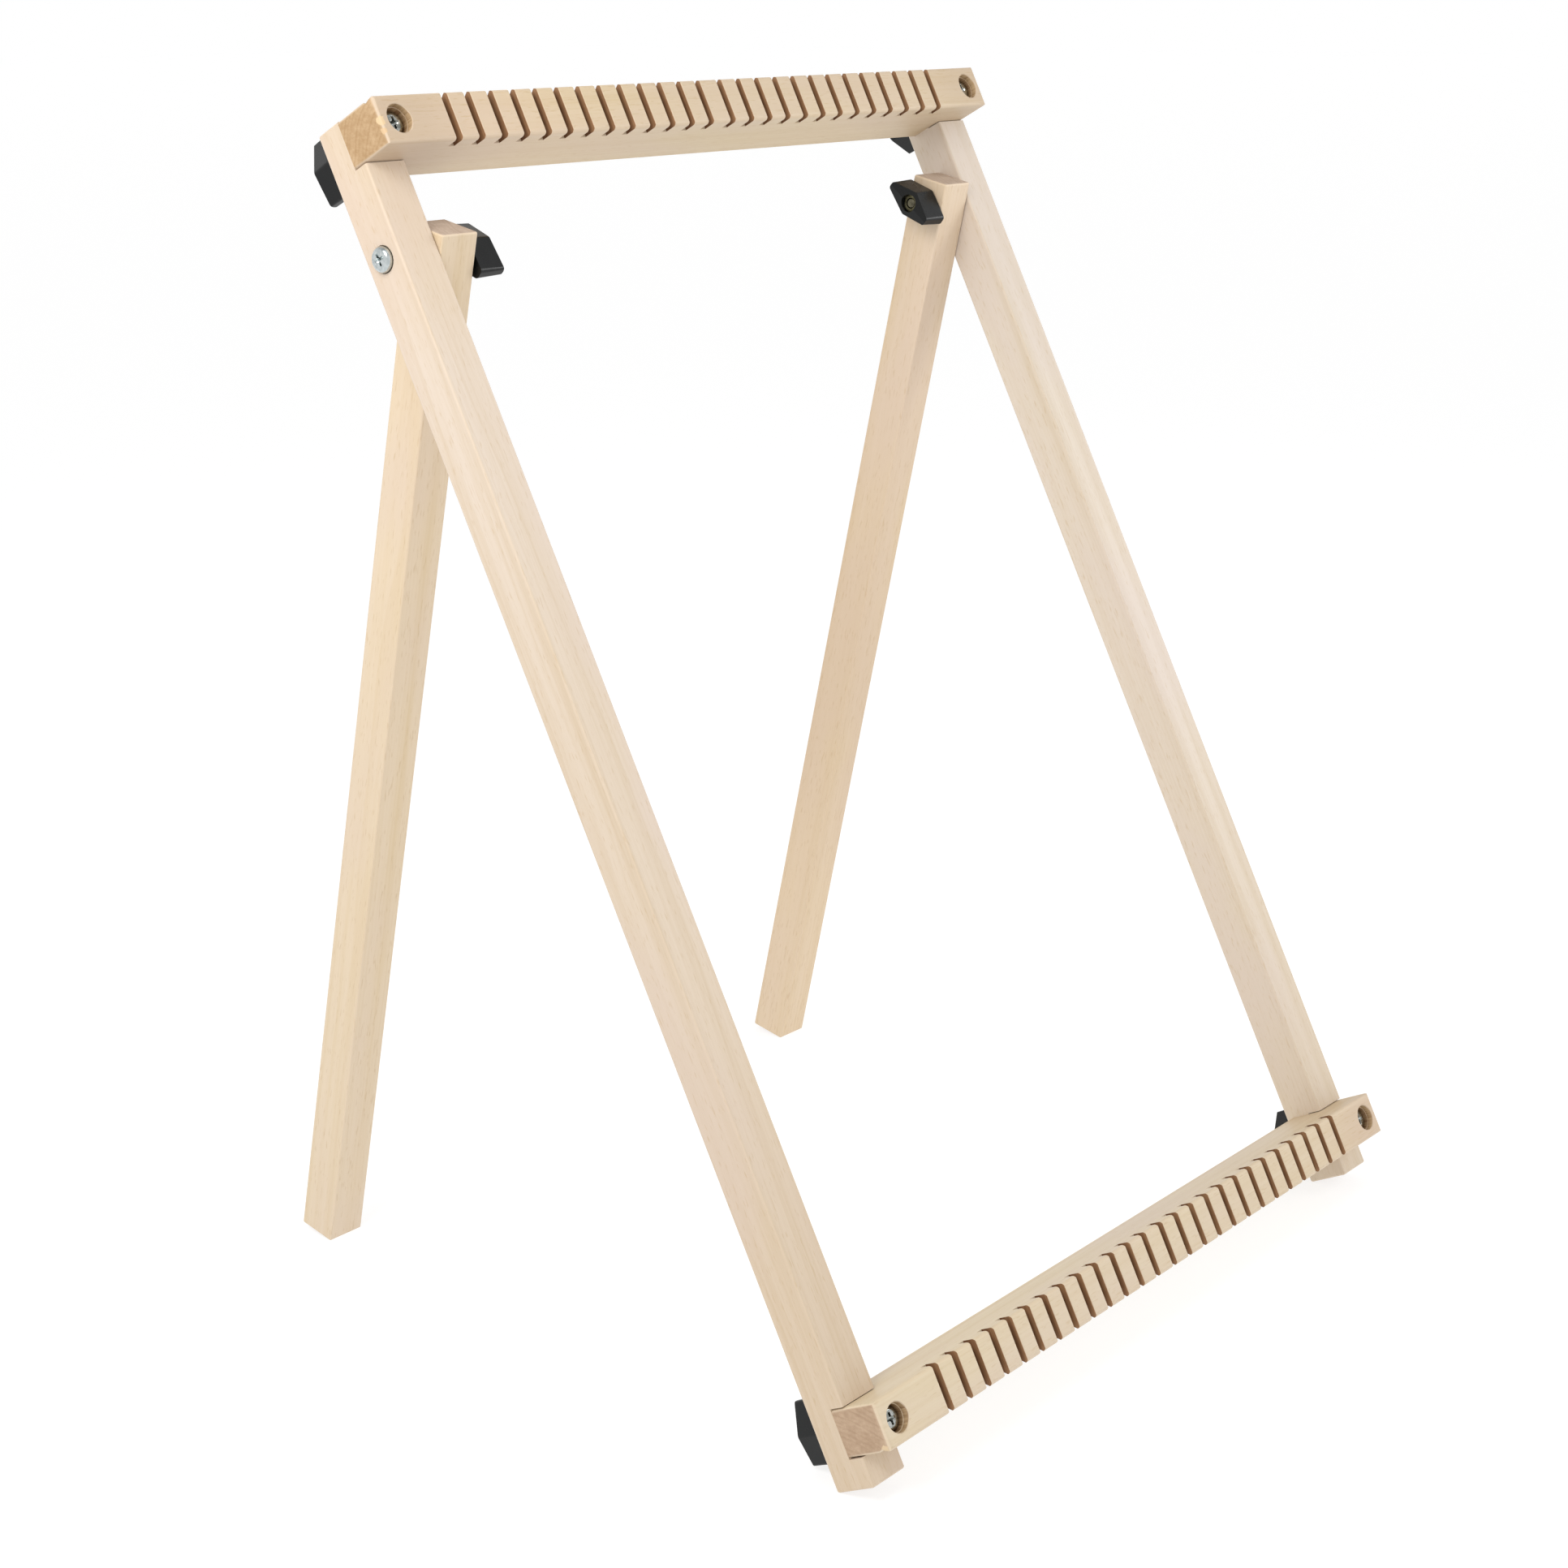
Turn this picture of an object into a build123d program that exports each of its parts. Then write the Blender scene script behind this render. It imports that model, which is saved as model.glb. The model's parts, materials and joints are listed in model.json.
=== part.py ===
from build123d import *
from math import atan2, cos, degrees, floor, radians, sin
import os

# A tabletop weaving frame: two uprights and two slotted crossbeams, lapped and bolted together, standing on
# its two feet and on two rear legs that swing on bolts through the uprights.
# Row frame: X across the loom, the weaver sits on the -Y side, Z up from the table.
# Frame coordinates: x across, v up along the uprights from their feet, w out of the uprights' front faces.

# ---------------------------------------------------------------- driving dimensions, millimetres
frame_width = 397.0
upright_length = 571.0
upright_width = 20.6
upright_depth = 20.0
edge_round = 1.0

beam_height = 20.2
beam_depth = 32.0
beam_stand_out = 16.0
lap_depth = 6.9
lap_clearance = 0.35
foot_length = 13.0
beam_front_round = 2.0
beam_back_round = 1.0
beam_end_round = 2.6
beam_corner_round = 2.0

slot_pitch = 12.7
slot_end_margin = 19.0
slot_width = 3.5
slot_depth = 6.6
slot_mouth_round = 0.6
groove_setback = 4.5
groove_width = 5.6
groove_depth = 1.7
# each half of a beam is slotted in a pass of its own: how far the left and the right pass stand off the middle
slot_pass_shifts = {"top": (-1.5, 0.4), "bottom": (0.6, 1.5)}

leg_width = 19.7
leg_depth = 19.7
leg_above_pivot = 10.7
leg_fold_clearance = 12.5
leg_open_angle = 40.0
leg_side_clearance = 0.3
pivot_below_top = 56.3

screw_diameter = 4.9
screw_head_diameter = 10.4
screw_head_height = 3.7
screw_head_round = 2.0
screw_hole_clearance = 0.3
screw_end_chamfer = 0.5
running_clearance = 0.08
recess_length = 5.2
recess_width = 1.2
recess_depth = 2.1
recess_core = 2.4
beam_screw_setback = 0.35
pivot_bolt_reach = 0.4

beam_bore_depth = 2.8
beam_bore_step = 0.4
head_bore_clearance = 0.4
beam_seat_depth = 7.5
pivot_head_proud = 2.7
bore_rim_chamfer = 0.4

washer_diameter = 10.0
washer_thickness = 1.0

nut_length = 27.6
nut_width = 14.2
nut_tip_width = 4.4
nut_height = 13.8
nut_draft = 2.0
nut_ridge_drop = 1.5
nut_tip_round = 1.9
nut_side_round = 2.6
nut_recess_diameter = 8.4
nut_recess_depth = 3.0
insert_across_flats = 8.0
insert_sides = 6
insert_collar_diameter = 7.2
insert_collar_height = 0.6
nut_seat_clearance = 0.05
size_tolerance = 0.05

# turn of each wing nut's long axis, degrees from the uprights' direction
beam_nut_turns = {"top_left": 8.0, "top_right": -38.0, "bottom_left": 6.0, "bottom_right": 32.0}
leg_nut_turn = 22.5

# ---------------------------------------------------------------- derived sizes and places
half_width = frame_width / 2
upright_x = half_width - upright_width / 2
top_beam_v = upright_length - beam_height / 2
bottom_beam_v = foot_length + beam_height / 2
pivot_v = upright_length - pivot_below_top
pivot_w = -upright_depth / 2
leg_x = half_width - upright_width - leg_side_clearance - leg_width / 2
leg_inner_x = leg_x - leg_width / 2
leg_below_pivot = pivot_v - (foot_length + beam_height + leg_fold_clearance)
slot_count = floor((frame_width - 2 * (upright_width + slot_end_margin)) / slot_pitch) + 1
screw_hole_diameter = screw_diameter + 2 * screw_hole_clearance
running_bore_diameter = screw_diameter + 2 * running_clearance
head_bore_diameter = screw_head_diameter + 2 * head_bore_clearance
beam_bore_diameter = head_bore_diameter + 2 * beam_bore_step
insert_height = nut_height - nut_recess_depth
nut_stack = washer_thickness + nut_seat_clearance + insert_height
bolt_seat_x = half_width - screw_head_height + pivot_head_proud
beam_screw_length = beam_stand_out - beam_seat_depth + upright_depth + nut_stack - beam_screw_setback
pivot_bolt_length = bolt_seat_x - leg_inner_x + nut_seat_clearance + nut_stack + pivot_bolt_reach

# The uprights rest on their rear bottom edges and the legs on their front bottom edges, so the frame leans
# until the line under those two rounded edges is level.
open_angle = radians(leg_open_angle)
leg_foot_inset = leg_below_pivot - edge_round
leg_edge_inset = leg_depth / 2 - edge_round


def leg_point(down, forward):
    """Frame coordinates (v, w) of a point measured down the leg from its pivot and out of its front face."""
    v = pivot_v - down * cos(open_angle) - forward * sin(open_angle)
    w = pivot_w - down * sin(open_angle) + forward * cos(open_angle)
    return v, w


upright_edge = (edge_round, -upright_depth + edge_round)
leg_front_edge = leg_point(leg_foot_inset, leg_edge_inset)
leg_back_edge = leg_point(leg_foot_inset, -leg_edge_inset)
lean = atan2(leg_front_edge[0] - upright_edge[0], upright_edge[1] - leg_front_edge[1])


def leaned(v, w):
    """World (y, z) of frame coordinates before the frame is moved to its origin."""
    return v * sin(lean) - w * cos(lean), v * cos(lean) + w * sin(lean)


front_y = leaned(foot_length + beam_front_round, beam_stand_out - beam_front_round)[0] - beam_front_round
back_y = leaned(*leg_back_edge)[0] + edge_round
floor_z = leaned(*upright_edge)[1] - edge_round

v_direction = (0, sin(lean), cos(lean))
w_direction = (0, -cos(lean), sin(lean))
frame_front = Plane(origin=(0, -(front_y + back_y) / 2, -floor_z), x_dir=(1, 0, 0), z_dir=w_direction)
leg_tilt = open_angle - lean


def at(x, v, w):
    """World position of a point given in frame coordinates."""
    return frame_front.from_local_coords((x, v, w))


def save(piece, name):
    piece.part.label = name
    export_step(piece.part, f"parts/{name}.step")


os.makedirs("parts", exist_ok=True)


# ---------------------------------------------------------------- uprights
def make_upright(side):
    outer_face = Plane(origin=at(side * half_width, pivot_v, pivot_w), x_dir=v_direction, z_dir=(side, 0, 0))
    lap_height = beam_height + lap_clearance
    with BuildPart() as upright:
        with BuildSketch(frame_front):
            with Locations((side * upright_x, upright_length / 2)):
                Rectangle(upright_width, upright_length)
        extrude(amount=-upright_depth)
        fillet(upright.edges(), radius=edge_round)
        with BuildSketch(frame_front):
            with Locations((side * upright_x, upright_length - lap_height)):
                Rectangle(upright_width, 2 * lap_height, align=(Align.CENTER, Align.MIN))
            with Locations((side * upright_x, bottom_beam_v)):
                Rectangle(upright_width, beam_height + 2 * lap_clearance)
        extrude(amount=-lap_depth, mode=Mode.SUBTRACT)
        with BuildSketch(frame_front):
            with Locations((side * upright_x, top_beam_v), (side * upright_x, bottom_beam_v)):
                Circle(screw_hole_diameter / 2)
        extrude(amount=-upright_depth, mode=Mode.SUBTRACT)
        with BuildSketch(outer_face):
            Circle(screw_hole_diameter / 2)
        extrude(amount=-upright_width, mode=Mode.SUBTRACT)
        with BuildSketch(outer_face):
            Circle(head_bore_diameter / 2)
        extrude(amount=-(screw_head_height - pivot_head_proud), mode=Mode.SUBTRACT)
    return upright


left_upright = make_upright(-1)
save(left_upright, "left_upright")
right_upright = make_upright(1)
save(right_upright, "right_upright")


# ---------------------------------------------------------------- crossbeams
def slot_places(pass_shifts):
    """Where the slots stand along a beam, each half shifted as its own pass was."""
    places = []
    for slot in range(slot_count):
        from_middle = slot_pitch * (slot - (slot_count - 1) / 2)
        places.append((from_middle + pass_shifts[from_middle > 0], 0))
    return places


def make_crossbeam(beam_v, outward, pass_shifts):
    """A crossbeam whose thread groove is on its outer face: outward is 1 at the top and -1 at the bottom."""
    section = Plane(origin=at(-half_width, beam_v, 0), x_dir=tuple(-c for c in w_direction), z_dir=(1, 0, 0))
    plan = Plane(origin=at(0, beam_v, 0), x_dir=(1, 0, 0), z_dir=tuple(-c for c in v_direction))
    front = frame_front.offset(beam_stand_out)
    outer_y = outward * beam_height / 2
    groove_x = groove_setback - beam_stand_out
    groove_points = [
        (groove_x - groove_width / 2, outer_y),
        (groove_x, outer_y - outward * groove_depth),
        (groove_x + groove_width / 2, outer_y),
    ]
    with BuildPart() as crossbeam:
        with BuildSketch(section):
            with Locations((-beam_stand_out, 0)):
                Rectangle(beam_depth, beam_height, align=(Align.MIN, Align.CENTER))
            front_corners = vertices().group_by(Axis.X)[0]
            back_corners = vertices().group_by(Axis.X)[-1]
            fillet(front_corners, radius=beam_front_round)
            fillet(back_corners, radius=beam_back_round)
            with BuildLine():
                Polyline(groove_points, close=True)
            make_face(mode=Mode.SUBTRACT)
        extrude(amount=frame_width)
        with BuildSketch(plan):
            with Locations((0, beam_stand_out)):
                Rectangle(frame_width, beam_depth, align=(Align.CENTER, Align.MAX))
            fillet(vertices().group_by(Axis.Y)[-1], radius=beam_end_round)
            with Locations((-half_width, -lap_depth), (half_width, -lap_depth)):
                Rectangle(2 * upright_width, 2 * beam_depth, align=(Align.CENTER, Align.MAX), mode=Mode.SUBTRACT)
            with Locations((0, beam_stand_out)):
                with Locations(slot_places(pass_shifts)):
                    Rectangle(slot_width, 2 * slot_depth, mode=Mode.SUBTRACT)
            slot_mouths = [
                corner
                for corner in vertices()
                if abs(corner.Y - beam_stand_out) < slot_mouth_round and abs(corner.X) < half_width - upright_width
            ]
            fillet(slot_mouths, radius=slot_mouth_round)
        extrude(amount=beam_height, both=True, mode=Mode.INTERSECT)
        with BuildSketch(front):
            with Locations((0, beam_v)):
                RectangleRounded(frame_width, beam_height, beam_corner_round)
        extrude(amount=-beam_depth, mode=Mode.INTERSECT)
        with BuildSketch(front):
            with Locations((-upright_x, beam_v), (upright_x, beam_v)):
                Circle(beam_bore_diameter / 2)
        extrude(amount=-beam_bore_depth, mode=Mode.SUBTRACT)
        with BuildSketch(front):
            with Locations((-upright_x, beam_v), (upright_x, beam_v)):
                Circle(head_bore_diameter / 2)
        extrude(amount=-beam_seat_depth, mode=Mode.SUBTRACT)
        with BuildSketch(front):
            with Locations((-upright_x, beam_v), (upright_x, beam_v)):
                Circle(screw_hole_diameter / 2)
        extrude(amount=-beam_depth, mode=Mode.SUBTRACT)
        rims = crossbeam.edges().filter_by(GeomType.CIRCLE).filter_by(
            lambda edge: abs(edge.radius - beam_bore_diameter / 2) < size_tolerance
        )
        chamfer(rims.group_by(Axis(at(0, beam_v, 0), w_direction))[-1], length=bore_rim_chamfer)
    return crossbeam


top_crossbeam = make_crossbeam(top_beam_v, 1, slot_pass_shifts["top"])
save(top_crossbeam, "top_crossbeam")
bottom_crossbeam = make_crossbeam(bottom_beam_v, -1, slot_pass_shifts["bottom"])
save(bottom_crossbeam, "bottom_crossbeam")


# ---------------------------------------------------------------- rear legs
def make_leg(side):
    front_normal = (0, -cos(leg_tilt), -sin(leg_tilt))
    middle = Plane(origin=at(side * leg_x, pivot_v, pivot_w), x_dir=(1, 0, 0), z_dir=front_normal)
    across = Plane(origin=middle.origin, x_dir=v_direction, z_dir=(1, 0, 0))
    with BuildPart() as leg:
        with BuildSketch(middle):
            with Locations((0, leg_above_pivot)):
                Rectangle(leg_width, leg_above_pivot + leg_below_pivot, align=(Align.CENTER, Align.MAX))
        extrude(amount=leg_depth / 2, both=True)
        fillet(leg.edges(), radius=edge_round)
        with BuildSketch(across):
            Circle(running_bore_diameter / 2)
        extrude(amount=leg_width, both=True, mode=Mode.SUBTRACT)
    return leg


left_leg = make_leg(-1)
save(left_leg, "left_leg")
right_leg = make_leg(1)
save(right_leg, "right_leg")


# ---------------------------------------------------------------- screws, washers, nuts and inserts
def make_screw(seat, length):
    """A pan head screw: its head bears on the seat plane and its shank runs against the plane's direction."""
    with BuildPart() as screw:
        with BuildSketch(seat):
            Circle(screw_diameter / 2)
        extrude(amount=-length)
        chamfer(screw.faces().sort_by(Axis(seat.origin, seat.z_dir))[0].edges(), length=screw_end_chamfer)
        with BuildSketch(seat):
            Circle(screw_head_diameter / 2)
        extrude(amount=screw_head_height)
        fillet(screw.faces().sort_by(Axis(seat.origin, seat.z_dir))[-1].edges(), radius=screw_head_round)
        with BuildSketch(seat.offset(screw_head_height)):
            Rectangle(recess_length, recess_width)
            Rectangle(recess_width, recess_length)
            Circle(recess_core / 2)
        extrude(amount=-recess_depth, mode=Mode.SUBTRACT)
    return screw


def make_washer(seat):
    with BuildPart() as washer:
        with BuildSketch(seat):
            Circle(washer_diameter / 2)
            Circle(screw_hole_diameter / 2, mode=Mode.SUBTRACT)
        extrude(amount=washer_thickness)
    return washer


def make_insert(base):
    with BuildPart() as insert:
        with BuildSketch(base):
            RegularPolygon(insert_across_flats / 2, insert_sides, major_radius=False)
        extrude(amount=insert_height)
        with BuildSketch(base.offset(insert_height)):
            Circle(insert_collar_diameter / 2)
        extrude(amount=insert_collar_height)
        with BuildSketch(base):
            Circle(running_bore_diameter / 2)
        extrude(amount=insert_height + insert_collar_height, mode=Mode.SUBTRACT)
    return insert


def make_wing_nut(base):
    """A moulded wing nut: its wings reach along the base plane's x direction."""
    outline_points = [
        (nut_length / 2, nut_tip_width / 2),
        (0, nut_width / 2),
        (-nut_length / 2, nut_tip_width / 2),
        (-nut_length / 2, -nut_tip_width / 2),
        (0, -nut_width / 2),
        (nut_length / 2, -nut_tip_width / 2),
    ]
    roof_points = [
        (-nut_width, 0),
        (nut_width, 0),
        (nut_width, nut_height - 2 * nut_ridge_drop),
        (0, nut_height),
        (-nut_width, nut_height - 2 * nut_ridge_drop),
    ]
    along = Plane(origin=base.origin, x_dir=base.y_dir, z_dir=base.x_dir)
    with BuildPart() as nut:
        with BuildSketch(base):
            with BuildLine():
                Polyline(outline_points, close=True)
            make_face()
            fillet(vertices().filter_by(lambda corner: abs(corner.X) < nut_tip_width), radius=nut_side_round)
            fillet(vertices().filter_by(lambda corner: abs(corner.X) > nut_tip_width), radius=nut_tip_round)
        extrude(amount=nut_height, taper=nut_draft)
        with BuildSketch(along):
            with BuildLine():
                Polyline(roof_points, close=True)
            make_face()
        extrude(amount=nut_length, both=True, mode=Mode.INTERSECT)
        with BuildSketch(base.offset(insert_height)):
            Circle(nut_recess_diameter / 2)
        extrude(amount=nut_height, mode=Mode.SUBTRACT)
        with BuildSketch(base):
            RegularPolygon(insert_across_flats / 2, insert_sides, major_radius=False)
        extrude(amount=insert_height, mode=Mode.SUBTRACT)
    return nut


def save_nut_and_insert(seat, turn, place):
    wing_direction = seat.x_dir.rotate(Axis((0, 0, 0), seat.z_dir), turn)
    base = Plane(origin=seat.origin, x_dir=wing_direction, z_dir=seat.z_dir)
    save(make_wing_nut(base), f"{place}_wing_nut")
    save(make_insert(base), f"{place}_nut_insert")


sides = {"left": -1, "right": 1}
beams = {"top": top_beam_v, "bottom": bottom_beam_v}
for beam_name, beam_v in beams.items():
    for side_name, side in sides.items():
        place = f"{beam_name}_{side_name}"
        screw_seat = Plane(
            origin=at(side * upright_x, beam_v, beam_stand_out - beam_seat_depth),
            x_dir=(1, 0, 0),
            z_dir=w_direction,
        )
        save(make_screw(screw_seat, beam_screw_length), f"{place}_screw")
        upright_back = Plane(
            origin=at(side * upright_x, beam_v, -upright_depth),
            x_dir=v_direction,
            z_dir=tuple(-c for c in w_direction),
        )
        save(make_washer(upright_back), f"{place}_washer")
        nut_seat = upright_back.offset(washer_thickness + nut_seat_clearance)
        save_nut_and_insert(nut_seat, beam_nut_turns[place], place)

for side_name, side in sides.items():
    bolt_seat = Plane(
        origin=at(side * bolt_seat_x, pivot_v, pivot_w),
        x_dir=v_direction,
        z_dir=(side, 0, 0),
    )
    save(make_screw(bolt_seat, pivot_bolt_length), f"{side_name}_pivot_bolt")
    leg_inner_face = Plane(
        origin=at(side * (leg_inner_x - nut_seat_clearance), pivot_v, pivot_w),
        x_dir=v_direction,
        z_dir=(-side, 0, 0),
    )
    save(make_washer(leg_inner_face), f"{side_name}_pivot_washer")
    nut_seat = leg_inner_face.offset(washer_thickness + nut_seat_clearance)
    save_nut_and_insert(nut_seat, side * leg_nut_turn, f"{side_name}_leg")

print("lean", degrees(lean), "degrees")
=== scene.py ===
import json
import math

import bmesh
import bpy
from mathutils import Matrix, Vector


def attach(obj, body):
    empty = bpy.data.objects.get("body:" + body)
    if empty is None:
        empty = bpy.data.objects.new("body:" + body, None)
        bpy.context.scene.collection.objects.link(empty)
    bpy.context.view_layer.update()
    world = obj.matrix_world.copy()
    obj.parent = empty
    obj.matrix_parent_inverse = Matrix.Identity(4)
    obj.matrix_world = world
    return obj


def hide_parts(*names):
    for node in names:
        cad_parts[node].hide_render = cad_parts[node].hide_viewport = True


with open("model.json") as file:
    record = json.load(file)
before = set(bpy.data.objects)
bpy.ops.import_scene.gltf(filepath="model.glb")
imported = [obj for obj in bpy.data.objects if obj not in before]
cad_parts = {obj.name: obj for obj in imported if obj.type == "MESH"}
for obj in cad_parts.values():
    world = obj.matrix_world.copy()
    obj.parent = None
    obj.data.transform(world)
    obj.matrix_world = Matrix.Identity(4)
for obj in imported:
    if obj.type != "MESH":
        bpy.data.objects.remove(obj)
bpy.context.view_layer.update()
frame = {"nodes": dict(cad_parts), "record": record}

MM = 0.001
nodes = frame["nodes"]
record = frame["record"]
mounts = {mount["name"]: mount for mount in record["mounts"]}
body_of = {node: body for body, members in record["behaviour"]["bodies"].items() for node in members}

# ------------------------------------------------------------------------------------------------
# Frame axes: "up" runs along the uprights, "front" points out of their front faces.
# ------------------------------------------------------------------------------------------------
ACROSS = Vector((1, 0, 0))
UP = -Vector(mounts["left_front_foot"]["axis"])
FRONT = Vector(mounts["left_upright_front"]["axis"])
LEG_UP = -Vector(mounts["left_rear_foot"]["axis"])


def extent(node, direction):
    """How far a node reaches along a direction: its lowest and highest value, in metres."""
    along = [vertex.co.dot(direction) for vertex in nodes[node].data.vertices]
    return min(along), max(along)


def middle(node, direction):
    return sum(extent(node, direction)) / 2


# ------------------------------------------------------------------------------------------------
# Finished copies: a CAD shape with its crisp outer edges rounded over, standing for its node
# ------------------------------------------------------------------------------------------------
MERGE = 0.0005 * MM
FLAT = math.radians(0.3)
SMOOTH = math.radians(40)
EVEN_ROUND = 0.5


def rounded_copy(node, width, crisp, segments=2, reshape=None):
    """A mesh like the node's, with the outer edges that turn more than crisp degrees bevelled by width.
    reshape, if given, changes the copy before that."""
    builder = bmesh.new()
    builder.from_mesh(nodes[node].data)
    bmesh.ops.remove_doubles(builder, verts=builder.verts, dist=MERGE)
    if reshape is not None:
        reshape(builder)
    bmesh.ops.dissolve_limit(builder, angle_limit=FLAT, verts=builder.verts, edges=builder.edges)
    outer = [
        edge
        for edge in builder.edges
        if edge.is_manifold and edge.is_convex and edge.calc_face_angle() > math.radians(crisp)
    ]
    bmesh.ops.bevel(
        builder,
        geom=outer,
        offset=width,
        segments=segments,
        profile=EVEN_ROUND,
        affect="EDGES",
        clamp_overlap=True,
    )
    mesh = bpy.data.meshes.new(f"{node}_finished")
    builder.to_mesh(mesh)
    builder.free()
    mesh.polygons.foreach_set("use_smooth", [True] * len(mesh.polygons))
    mesh.set_sharp_from_angle(angle=SMOOTH)
    return mesh


def stand_in(node, mesh, materials):
    """Shows the mesh instead of a CAD node, on the node's own body."""
    for material in materials:
        mesh.materials.append(material)
    piece = bpy.data.objects.new(f"{node}_finished", mesh)
    bpy.context.scene.collection.objects.link(piece)
    piece.modifiers.new("even_normals", "WEIGHTED_NORMAL").keep_sharp = True
    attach(piece, body_of[node])
    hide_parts(node)


def dress(node, material):
    """Gives a CAD node that is shown as it is its material."""
    nodes[node].data.materials.clear()
    nodes[node].data.materials.append(material)


# ------------------------------------------------------------------------------------------------
# Shader helpers
# ------------------------------------------------------------------------------------------------
class Shader:
    """A material's node tree with short calls for the nodes used here."""

    def __init__(self, name):
        self.material = bpy.data.materials.new(name)
        self.material.use_nodes = True
        self.tree = self.material.node_tree
        self.tree.nodes.clear()
        output = self.tree.nodes.new("ShaderNodeOutputMaterial")
        self.principled = self.tree.nodes.new("ShaderNodeBsdfPrincipled")
        self.tree.links.new(self.principled.outputs[0], output.inputs[0])
        coordinates = self.tree.nodes.new("ShaderNodeTexCoord")
        self.place = coordinates.outputs["Object"]
        self.normal = coordinates.outputs["Normal"]

    def set(self, socket, value):
        if isinstance(value, bpy.types.NodeSocket):
            self.tree.links.new(value, socket)
        else:
            socket.default_value = value

    def shade(self, name, value):
        self.set(self.principled.inputs[name], value)

    def math(self, operation, first, second=0.0):
        node = self.tree.nodes.new("ShaderNodeMath")
        node.operation = operation
        self.set(node.inputs[0], first)
        self.set(node.inputs[1], second)
        return node.outputs[0]

    def total(self, *terms):
        """The sum of (value, weight) pairs."""
        result = 0.0
        for value, weight in terms:
            result = self.math("ADD", result, self.math("MULTIPLY", value, weight))
        return result

    def vector(self, operation, first, second=(0, 0, 0)):
        node = self.tree.nodes.new("ShaderNodeVectorMath")
        node.operation = operation
        self.set(node.inputs[0], first)
        self.set(node.inputs[1], second)
        gives_number = operation in ("DOT_PRODUCT", "LENGTH")
        return node.outputs["Value" if gives_number else "Vector"]

    def along(self, direction):
        return self.vector("DOT_PRODUCT", self.place, tuple(direction))

    def facing(self, direction):
        """1 where the surface faces along the direction or against it."""
        return self.math("ABSOLUTE", self.vector("DOT_PRODUCT", self.normal, tuple(direction)))

    def ramp(self, value, low, high, to_low=0.0, to_high=1.0):
        """Runs smoothly from to_low, where the value is low, to to_high, where it is high."""
        node = self.tree.nodes.new("ShaderNodeMapRange")
        node.interpolation_type = "SMOOTHSTEP"
        for name, number in (
            ("Value", value),
            ("From Min", low),
            ("From Max", high),
            ("To Min", to_low),
            ("To Max", to_high),
        ):
            self.set(node.inputs[name], number)
        return node.outputs["Result"]

    def mix(self, factor, first, second):
        node = self.tree.nodes.new("ShaderNodeMix")
        node.data_type = "RGBA"
        sockets = {socket.identifier: socket for socket in node.inputs}
        self.set(sockets["Factor_Float"], factor)
        self.set(sockets["A_Color"], first)
        self.set(sockets["B_Color"], second)
        return next(socket for socket in node.outputs if socket.identifier == "Result_Color")

    def noise(self, vector, scale, detail=2.0, roughness=0.5):
        node = self.tree.nodes.new("ShaderNodeTexNoise")
        self.set(node.inputs["Vector"], vector)
        node.inputs["Scale"].default_value = scale
        node.inputs["Detail"].default_value = detail
        node.inputs["Roughness"].default_value = roughness
        return node.outputs["Fac"]

    def combine(self, x, y, z):
        node = self.tree.nodes.new("ShaderNodeCombineXYZ")
        for socket, value in zip(node.inputs, (x, y, z)):
            self.set(socket, value)
        return node.outputs[0]

    def bump(self, height, strength, distance):
        node = self.tree.nodes.new("ShaderNodeBump")
        node.inputs["Strength"].default_value = strength
        node.inputs["Distance"].default_value = distance
        self.set(node.inputs["Height"], height)
        self.shade("Normal", node.outputs[0])


def colour(hexadecimal):
    """The linear colour of an sRGB hex string."""
    channels = [int(hexadecimal[start : start + 2], 16) / 255 for start in (0, 2, 4)]
    linear = [c / 12.92 if c <= 0.04045 else ((c + 0.055) / 1.055) ** 2.4 for c in channels]
    return (*linear, 1.0)


# ------------------------------------------------------------------------------------------------
# Maple: faint rings about a far pith, fine fibres, short flecks, brown end grain, pale edges that are
# partly worn and partly a painted highlight
# ------------------------------------------------------------------------------------------------
STREAK = colour("BCA17C")
# the pale edge colour: partly sanded wear, partly a painted highlight
ARRIS = colour("DCC8AF")
RING_PITCH = 2.1 * MM
RING_DRIFT = 12 * MM
DRIFT_SCALE = 22.0
RING_TONE_SCALE = 330.0
FIBRE_SCALE = 1400.0
FLECK_SCALE = 1300.0
STREAK_SCALE = 150.0
VEIN_SCALE = 330.0
CLOUD_SCALE = 24.0
RAY_SCALE = 1700.0
END_CLOUD_SCALE = 130.0
TEAR_SCALE = 900.0


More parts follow.
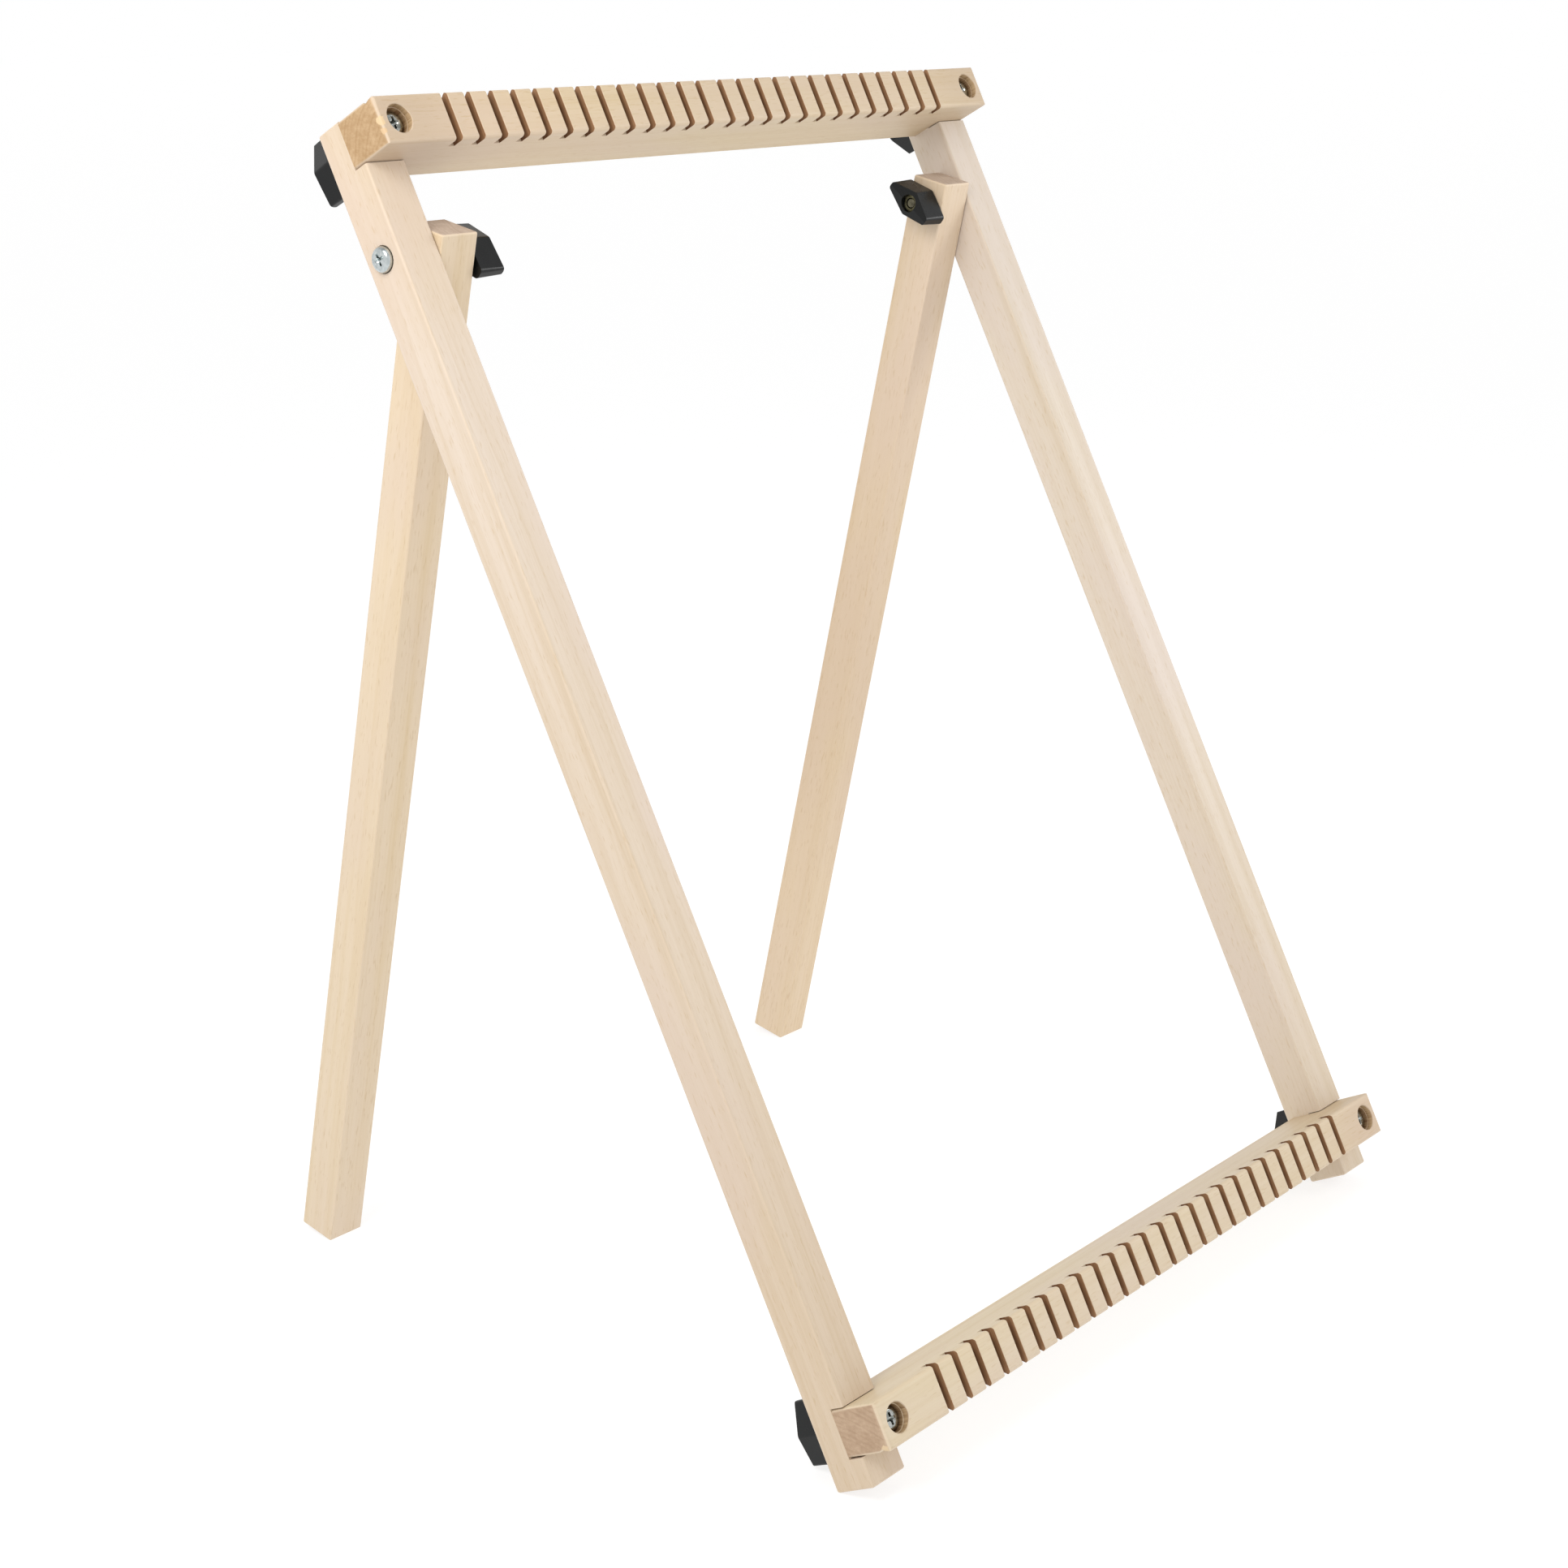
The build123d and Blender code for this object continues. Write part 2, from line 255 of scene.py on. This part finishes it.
class Maple(Shader):
    """The wood of one bar. look says how it was cut and coloured: grain is the direction of its fibres
    and side a direction across them. The trunk's centre, the pith, stands off the bar's middle by pith,
    in metres along side and through the bar. shades are its pale, its warm and its rosy tone, and ends
    the two tones of its end grain."""

    def __init__(self, node, look):
        super().__init__(f"{node}_wood")
        self.seed = look["seed"]
        self.pale, self.warm, self.rosy = (colour(shade) for shade in look["shades"])
        self.end_pale, self.end_deep = (colour(shade) for shade in look["ends"])
        self.grain, self.side = look["grain"], look["side"]
        self.depth = self.grain.cross(self.side).normalized()
        self.across, self.through = self.along(self.side), self.along(self.depth)
        self.length = self.along(self.grain)
        side_pith, depth_pith = look["pith"]
        self.pith = (middle(node, self.side) + side_pith, middle(node, self.depth) + depth_pith)

    def stretched(self, share, shift=0.0):
        """Coordinates in which patterns are drawn out along the grain; share is how much of it counts."""
        place = self.combine(self.across, self.through, self.math("MULTIPLY", self.length, share))
        return self.vector("ADD", place, (self.seed + shift, self.seed * 0.7, shift))

    def rings(self):
        """Year rings about the pith: each darkens slowly, then ends at once."""
        drift = self.noise(self.stretched(share=0.16), DRIFT_SCALE, detail=2.0)
        drift = self.math("MULTIPLY", self.math("SUBTRACT", drift, 0.5), RING_DRIFT)
        ring_x = self.math("ADD", self.math("SUBTRACT", self.across, self.pith[0]), drift)
        ring_y = self.math("ADD", self.math("SUBTRACT", self.through, self.pith[1]), drift)
        radius = self.vector("LENGTH", self.combine(ring_x, ring_y, 0.0))
        phase = self.math("FRACT", self.math("DIVIDE", radius, RING_PITCH))
        darkening = self.ramp(phase, 0.3, 0.93)
        ending = self.ramp(phase, 0.93, 1.0, to_low=1.0, to_high=0.0)
        strength = self.noise(self.combine(radius, self.seed, 0.0), RING_TONE_SCALE, detail=1.0)
        strength = self.ramp(strength, 0.35, 0.7, to_low=0.15)
        return self.math("MULTIPLY", self.math("MULTIPLY", darkening, ending), strength)

    def long_grain(self, rings, fibre, streak, fleck):
        tone = self.total((rings, 0.16), (streak, 0.6), (fibre, 0.4))
        surface = self.mix(self.ramp(tone, 0.3, 0.85), self.pale, self.warm)
        cloud = self.noise(self.stretched(share=0.3, shift=3.1), CLOUD_SCALE, detail=2.0)
        surface = self.mix(self.ramp(cloud, 0.4, 0.68, to_high=0.65), surface, self.rosy)
        vein = self.noise(self.stretched(share=0.01, shift=7.7), VEIN_SCALE, detail=1.0)
        vein = self.ramp(vein, 0.6, 0.8, to_high=0.16)
        surface = self.mix(vein, surface, STREAK)
        return self.mix(self.math("MULTIPLY", fleck, 0.48), surface, STREAK)

    def toned_and_lit(self, surface, node, tones):
        """The colour times factors that change along the bar: (share of its length, red, green, blue). On
        some bars they are partly painted light as well as the wood's own tone: a painted sheen on two of
        them, the key lamp's fall-off on the left upright.
        """
        low, high = extent(node, self.grain)
        places = [low + share * (high - low) for share, *_ in tones]
        factor = (*tones[0][1:], 1.0)
        for start, end, (_, *tint) in zip(places, places[1:], tones[1:]):
            factor = self.mix(self.ramp(self.length, start, end), factor, (*tint, 1.0))
        return self.vector("MULTIPLY", surface, factor)

    def end_grain(self, rings):
        place = self.vector("ADD", self.place, (self.seed, 0, self.seed))
        rays = self.vector("MULTIPLY", place, (1.0, 0.25, 0.45))
        rays = self.noise(rays, RAY_SCALE, detail=2.0, roughness=0.6)
        cloud = self.noise(place, END_CLOUD_SCALE, detail=2.0)
        tone = self.total((rings, 0.2), (rays, 0.75), (cloud, 0.5))
        return self.mix(self.ramp(tone, 0.25, 0.95), self.end_pale, self.end_deep)

    def worn_and_highlit_edges(self, surface):
        """Edges are paler, partly from sanding and partly a painted highlight where the rounded edges
        catch the light, most of all those that cross the fibres. They face between the bar's main
        directions."""
        square = self.math("MAXIMUM", self.facing(self.grain), self.facing(self.side))
        square = self.math("MAXIMUM", square, self.facing(self.depth))
        crossing = self.ramp(self.facing(self.grain), 0.1, 0.3, to_low=0.2, to_high=0.4)
        return self.mix(self.math("MULTIPLY", self.ramp(square, 0.985, 0.85), crossing), surface, ARRIS)

    def marked(self, surface, place, radius, tint):
        """A ragged spot of another tone, such as a tear-out."""
        away = self.vector("LENGTH", self.vector("SUBTRACT", self.place, tuple(place)))
        ragged = self.math("SUBTRACT", self.noise(self.place, TEAR_SCALE, detail=2.0), 0.5)
        away = self.total((away, 1.0), (ragged, radius))
        return self.mix(self.ramp(away, radius, radius * 0.7), surface, colour(tint))


def maple(node, look, marks=()):
    """The finished wood of one bar. marks are its tear-outs: (place, radius, colour)."""
    wood = Maple(node, look)
    rings = wood.rings()
    fibre = wood.noise(wood.stretched(share=0.02, shift=1.9), FIBRE_SCALE, detail=2.0, roughness=0.6)
    streak = wood.noise(wood.stretched(share=0.012, shift=4.3), STREAK_SCALE, detail=2.0)
    fleck = wood.noise(wood.stretched(share=0.14, shift=5.5), FLECK_SCALE, detail=1.0)
    fleck = wood.ramp(fleck, 0.6, 0.74)
    end = wood.ramp(wood.facing(wood.grain), 0.75, 0.9)
    faces = wood.toned_and_lit(wood.long_grain(rings, fibre, streak, fleck), node, look["tones"])
    surface = wood.worn_and_highlit_edges(wood.mix(end, faces, wood.end_grain(rings)))
    for place, radius, tint in marks:
        surface = wood.marked(surface, place, radius, tint)
    wood.shade("Base Color", surface)
    sheen = wood.ramp(streak, 0.3, 0.7, to_low=0.44, to_high=0.52)
    wood.shade("Roughness", wood.total((sheen, 1.0), (end, 0.2)))
    wood.shade("Specular IOR Level", 0.4)
    relief = wood.total((fibre, 0.6), (fleck, -0.4), (rings, 0.25))
    wood.bump(relief, strength=0.3, distance=0.08 * MM)
    return wood.material


SAW_SCALE = 1500.0
WALL_CLOUD_SCALE = 260.0


def cut_and_shaded_wall(name, front, pale, deep, reach, marks):
    """Wood that a tool has cut, in a narrow hollow: brown, partly its own tone and partly painted shade,
    and browner with the depth behind front, as far as reach, which is painted shade deepening into the
    hollow. marks is the direction that the tool's marks run in."""
    wall = Shader(name)
    depth = wall.math("SUBTRACT", front, wall.along(FRONT))
    across = wall.vector("CROSS_PRODUCT", wall.place, tuple(marks))
    saw = wall.noise(across, SAW_SCALE, detail=2.0, roughness=0.6)
    cloud = wall.noise(wall.place, WALL_CLOUD_SCALE, detail=2.0)
    tone = wall.total((wall.ramp(depth, 0.2 * MM, reach), 0.5), (saw, 0.8), (cloud, 0.2))
    wall.shade("Base Color", wall.mix(wall.ramp(tone, 0.2, 1.05), colour(pale), colour(deep)))
    wall.shade("Roughness", 0.6)
    wall.shade("Specular IOR Level", 0.25)
    wall.bump(saw, strength=0.3, distance=0.08 * MM)
    return wall.material


# ------------------------------------------------------------------------------------------------
# Plastic and metal
# ------------------------------------------------------------------------------------------------
PLASTIC_CLOUD_SCALE = 70.0
MOULD_SCALE = 3800.0
SPANGLE_SCALE = 520.0
SCRATCH_SCALE = 600.0


def moulded_plastic():
    """Black plastic with the fine texture of its mould."""
    plastic = Shader("black_plastic")
    cloud = plastic.noise(plastic.place, PLASTIC_CLOUD_SCALE, detail=3.0, roughness=0.6)
    texture = plastic.noise(plastic.place, MOULD_SCALE, detail=2.0, roughness=0.6)
    sheen = plastic.ramp(cloud, 0.3, 0.7, to_low=0.2, to_high=0.28)
    plastic.shade("Base Color", plastic.mix(cloud, colour("0A0B0C"), colour("121414")))
    plastic.shade("Roughness", plastic.total((sheen, 1.0), (texture, 0.08)))
    plastic.shade("Specular IOR Level", 0.24)
    plastic.bump(texture, strength=0.18, distance=0.04 * MM)
    return plastic.material


def plated(name, bright, dull, roughness):
    """Plated or turned metal, clouded between a bright and a dull tone and faintly scratched."""
    metal = Shader(name)
    spangle = metal.noise(metal.place, SPANGLE_SCALE, detail=3.0, roughness=0.6)
    scratched = metal.vector("MULTIPLY", metal.place, (1.0, 9.0, 3.0))
    scratch = metal.noise(scratched, SCRATCH_SCALE, detail=2.0, roughness=0.6)
    metal.shade("Base Color", metal.mix(metal.ramp(spangle, 0.35, 0.7), colour(bright), colour(dull)))
    metal.shade("Metallic", 1.0)
    metal.shade("Roughness", metal.ramp(scratch, 0.3, 0.7, roughness - 0.05, roughness + 0.09))
    relief = metal.total((scratch, 0.5), (spangle, 0.5))
    metal.bump(relief, strength=0.1, distance=0.04 * MM)
    return metal.material


# ------------------------------------------------------------------------------------------------
# Uprights and legs: the CAD shapes, dressed
# ------------------------------------------------------------------------------------------------
PLAIN_ENDS = ("C4B2A1", "A99482")
UPRIGHT = {
    "grain": UP,
    "side": ACROSS,
    "shades": ("D1BFAA", "C8B398", "CEBBAB"),
    "ends": PLAIN_ENDS,
}
LEG = {
    "grain": LEG_UP,
    "side": ACROSS,
    "shades": ("D3BFA4", "CCB592", "CEB9A4"),
    "ends": PLAIN_ENDS,
}
bar_looks = {
    "left_upright": {
        **UPRIGHT,
        "pith": (0.05, 0.03),
        "seed": 1.7,
        # paler and whiter up towards the top: painted light, the key lamp's fall-off along the upright
        "tones": (
            (0.1, 0.95, 0.94, 0.91),
            (0.5, 0.98, 1.0, 1.02),
            (0.8, 1.02, 1.06, 1.14),
            (0.93, 1.0, 1.0, 0.99),
        ),
    },
    "right_upright": {
        **UPRIGHT,
        "pith": (-0.02, 0.06),
        "seed": 5.1,
        # whiter in the middle: partly the board's own tone and partly a painted sheen
        "tones": ((0.1, 0.98, 1.01, 1.02), (0.5, 1.0, 1.05, 1.12), (0.9, 0.98, 1.04, 1.1)),
    },
    "left_leg": {
        **LEG,
        "pith": (0.06, -0.02),
        "seed": 17.9,
        "tones": ((0.0, 1.03, 1.06, 1.1), (1.0, 1.02, 1.04, 1.06)),
    },
    "right_leg": {
        **LEG,
        "pith": (-0.05, 0.03),
        "seed": 21.3,
        "tones": ((0.1, 1.05, 1.04, 1.04), (0.45, 0.99, 0.97, 0.93), (0.95, 1.05, 1.06, 1.1)),
    },
}
for bar, look in bar_looks.items():
    dress(bar, maple(bar, look))

# ------------------------------------------------------------------------------------------------
# Crossbeams: eased edges, saw slots and bores brown partly with painted shade, small tear-outs at the
# left ends
# ------------------------------------------------------------------------------------------------
BEAM_EASE = 0.35 * MM
BEAM_CRISP = 50
SLOT_REACH = 6.7 * MM
BORE_REACH = 7.6 * MM
BORE_MARGIN = 1.2 * MM
WALL_FACING = 0.9
RIM = 0.35 * MM
# places in a beam's list of materials, after the wood
SLOT_WALL, BORE_WALL = 1, 2
beam_front = extent("top_crossbeam", FRONT)[1]
slot_side = extent("right_upright", ACROSS)[0]
# the slot and bore walls: brown partly of their own and partly painted shade, browner deeper in
shaded_slot_wall = cut_and_shaded_wall("shaded_slot_wall", beam_front, "A07A57", "6C4931", SLOT_REACH, UP)
shaded_bore_wall = cut_and_shaded_wall("shaded_bore_wall", beam_front, "C4A983", "735231", BORE_REACH, FRONT)


def mark_cuts(mesh, place):
    """Gives the slots' walls and the screw bores' walls their own materials, brown partly with painted
    shade.
    """
    bores = [
        (middle(f"{place}_{side}_screw", ACROSS), middle(f"{place}_{side}_screw", UP))
        for side in ("left", "right")
    ]
    head_radius = extent(f"{place}_left_screw", ACROSS)[1] - bores[0][0]
    for polygon in mesh.polygons:
        centre = polygon.center
        depth = beam_front - centre.dot(FRONT)
        from_bore = min(math.hypot(centre.x - x, centre.dot(UP) - v) for x, v in bores)
        sideways = abs(polygon.normal.dot(FRONT)) < WALL_FACING
        if abs(polygon.normal.x) > WALL_FACING and abs(centre.x) < slot_side and depth < SLOT_REACH:
            polygon.material_index = SLOT_WALL
        elif from_bore < head_radius + BORE_MARGIN and RIM < depth < BORE_REACH and sideways:
            polygon.material_index = BORE_WALL


BEAM = {
    "grain": ACROSS,
    "side": FRONT,
    "shades": ("CDB99B", "C6AF8C", "C8B29C"),
}
# tears: shares of the beam's size from its middle, radius in millimetres and colour
beam_looks = {
    "top": {
        **BEAM,
        "pith": (0.035, 0.045),
        "seed": 9.4,
        "tones": (
            (0.04, 0.87, 0.86, 0.86),
            (0.15, 1.0, 1.0, 1.0),
            (0.5, 0.96, 0.98, 0.98),
            (0.85, 0.96, 0.97, 0.98),
            (0.96, 0.87, 0.86, 0.86),
        ),
        "ends": ("BDA07C", "A4845D"),
        "tears": [((-0.499, -0.02, 0.48), 2.2, "D2B891"), ((-0.499, -0.22, 0.47), 1.5, "CDAF88")],
    },
    "bottom": {
        **BEAM,
        "pith": (-0.03, 0.055),
        "seed": 13.2,
        # paler and whiter towards the left: partly the board's own tone and partly a painted sheen
        "tones": (
            (0.04, 1.06, 1.12, 1.18),
            (0.5, 1.03, 1.08, 1.13),
            (0.85, 1.0, 1.03, 1.08),
            (0.96, 0.95, 0.94, 0.94),
        ),
        "ends": ("B99F85", "A1866C"),
        "tears": [((-0.499, -0.44, 0.42), 1.9, "CFB794")],
    },
}


def beam_place(beam, shares):
    """The point at these shares of the beam's size from its middle, along its three directions."""
    place = Vector()
    for direction, share in zip((ACROSS, UP, FRONT), shares):
        low, high = extent(beam, direction)
        place += direction * ((low + high) / 2 + share * (high - low))
    return place


for place, look in beam_looks.items():
    beam = f"{place}_crossbeam"
    marks = [(beam_place(beam, shares), radius * MM, tint) for shares, radius, tint in look["tears"]]
    finished = rounded_copy(beam, BEAM_EASE, BEAM_CRISP)
    mark_cuts(finished, place)
    stand_in(beam, finished, [maple(beam, look, marks), shaded_slot_wall, shaded_bore_wall])

# ------------------------------------------------------------------------------------------------
# Screws, bolts, washers, inserts and wing nuts
# ------------------------------------------------------------------------------------------------
RECESS_RADIUS = 2.75 * MM
RECESS_SHOULDER = 3.4 * MM
RECESS_TAPER = 0.62
BOLT_END = 6.0 * MM
SCREW_EASE = 0.12 * MM
SCREW_CRISP = 30
NUT_EASE = 0.4 * MM
NUT_CRISP = 18
zinc = plated("bright_zinc", "CDD3D3", "B4BCBD", 0.16)
shaded_zinc = plated("shaded_zinc", "BABDBA", "82857F", 0.15)
bolt_end = plated("bolt_end", "6E6A58", "4A463A", 0.35)
washer_zinc = plated("washer_zinc", "C2C8C8", "9FA5A5", 0.3)
insert_steel = plated("turned_steel", "6E6A52", "47432F", 0.34)
plastic = moulded_plastic()


def taper_recess(axis, head_top):
    """A reshape that narrows the floor of a screw's cross recess, as a driver's tip is narrower."""

    def reshape(builder):
        shown = [vertex for vertex in builder.verts if head_top - vertex.co.dot(axis) < RECESS_SHOULDER]
        middle_point = sum((vertex.co for vertex in shown), Vector()) / len(shown)
        spokes = {}
        for vertex in shown:
            offset = vertex.co - middle_point
            spokes[vertex] = offset - axis * offset.dot(axis)
        inside = [vertex for vertex in shown if spokes[vertex].length < RECESS_RADIUS]
        floor_level = min(vertex.co.dot(axis) for vertex in inside)
        for vertex in inside:
            if vertex.co.dot(axis) < floor_level + RIM:
                vertex.co -= spokes[vertex] * (1 - RECESS_TAPER)

    return reshape


for node in nodes:
    if node.endswith("wing_nut"):
        stand_in(node, rounded_copy(node, NUT_EASE, NUT_CRISP, segments=3), [plastic])
    elif node.endswith(("_screw", "_bolt")):
        outward = FRONT if node.endswith("_screw") else ACROSS * (1 if node.startswith("right") else -1)
        lowest, head_top = extent(node, outward)
        screw = rounded_copy(node, SCREW_EASE, SCREW_CRISP, reshape=taper_recess(outward, head_top))
        for polygon in screw.polygons:
            polygon.material_index = int(polygon.center.dot(outward) < lowest + BOLT_END)
        head_zinc = zinc if node.endswith("_bolt") else shaded_zinc
        stand_in(node, screw, [head_zinc, bolt_end])
    elif node.endswith("_washer"):
        dress(node, washer_zinc)
    elif node.endswith("nut_insert"):
        dress(node, insert_steel)

# ------------------------------------------------------------------------------------------------
# Stage: white floor, soft light and camera
# ------------------------------------------------------------------------------------------------
FLOOR_SIZE = 40.0
FLOOR_GREY = 0.35
FLOOR_GLOW = 0.72
AIM = Vector((0.0, 0.0, 0.25))
floor_mesh = bpy.data.meshes.new("floor")
floor_builder = bmesh.new()
bmesh.ops.create_grid(floor_builder, x_segments=1, y_segments=1, size=FLOOR_SIZE / 2)
floor_builder.to_mesh(floor_mesh)
floor_builder.free()
floor = bpy.data.objects.new("floor", floor_mesh)
bpy.context.scene.collection.objects.link(floor)
floor_shader = Shader("pale_floor")
floor_shader.shade("Base Color", (FLOOR_GREY, FLOOR_GREY, FLOOR_GREY, 1.0))
floor_shader.shade("Roughness", 0.9)
floor_shader.shade("Specular IOR Level", 0.1)
floor_shader.shade("Emission Color", (1.0, 1.0, 1.0, 1.0))
floor_shader.shade("Emission Strength", FLOOR_GLOW)
floor_mesh.materials.append(floor_shader.material)


def area_light(name, place, size, power, tint=(1, 1, 1)):
    """A round lamp at the place, aimed at the middle of the loom."""
    light = bpy.data.lights.new(name, "AREA")
    light.shape = "DISK"
    light.size = size
    light.energy = power
    light.color = tint
    lamp = bpy.data.objects.new(name, light)
    lamp.location = place
    lamp.rotation_euler = (AIM - Vector(place)).to_track_quat("-Z", "Y").to_euler()
    bpy.context.scene.collection.objects.link(lamp)


area_light("key", (-0.9, -0.1, 1.05), size=0.6, power=6.6, tint=(1.0, 0.99, 0.98))
area_light("front", (1.2, -0.9, 0.75), size=0.8, power=6.5)
area_light("overhead", (0.0, -0.5, 1.9), size=1.4, power=2.0)

# the sky is white down to the horizon and greyer overhead, which gives metal something to reflect
world = bpy.data.worlds.new("studio")
world.use_nodes = True
sky = world.node_tree
direction = sky.nodes.new("ShaderNodeTexCoord")
split = sky.nodes.new("ShaderNodeSeparateXYZ")
height = sky.nodes.new("ShaderNodeMapRange")
height.interpolation_type = "SMOOTHSTEP"
for name, number in (("From Min", 0.3), ("From Max", 0.8), ("To Min", 1.0), ("To Max", 0.6)):
    height.inputs[name].default_value = number
background = sky.nodes["Background"]
background.inputs["Color"].default_value = (1.0, 1.0, 1.0, 1.0)
sky.links.new(direction.outputs["Generated"], split.inputs[0])
sky.links.new(split.outputs["Z"], height.inputs["Value"])
sky.links.new(height.outputs["Result"], background.inputs["Strength"])
bpy.context.scene.world = world
bpy.context.scene.view_settings.view_transform = "Standard"

SENSOR = 36.0
LENS = 61.52
SHIFT = (0.0617, 0.0641)
CAMERA_PLACE = Vector((-0.9259, -0.7228, 0.5601))
VIEW_DIRECTION = Vector((0.71154, 0.62676, -0.31763)).normalized()
VIEW_UP = Vector((0.24492, 0.20246, 0.94817)).normalized()
camera_data = bpy.data.cameras.new("camera")
camera_data.sensor_width = SENSOR
camera_data.lens = LENS
camera_data.shift_x, camera_data.shift_y = SHIFT
camera = bpy.data.objects.new("camera", camera_data)
bpy.context.scene.collection.objects.link(camera)
view_right = VIEW_DIRECTION.cross(VIEW_UP).normalized()
view_up = view_right.cross(VIEW_DIRECTION)
turn = Matrix((view_right, view_up, -VIEW_DIRECTION)).transposed().to_4x4()
camera.matrix_world = Matrix.Translation(CAMERA_PLACE) @ turn
bpy.context.scene.camera = camera
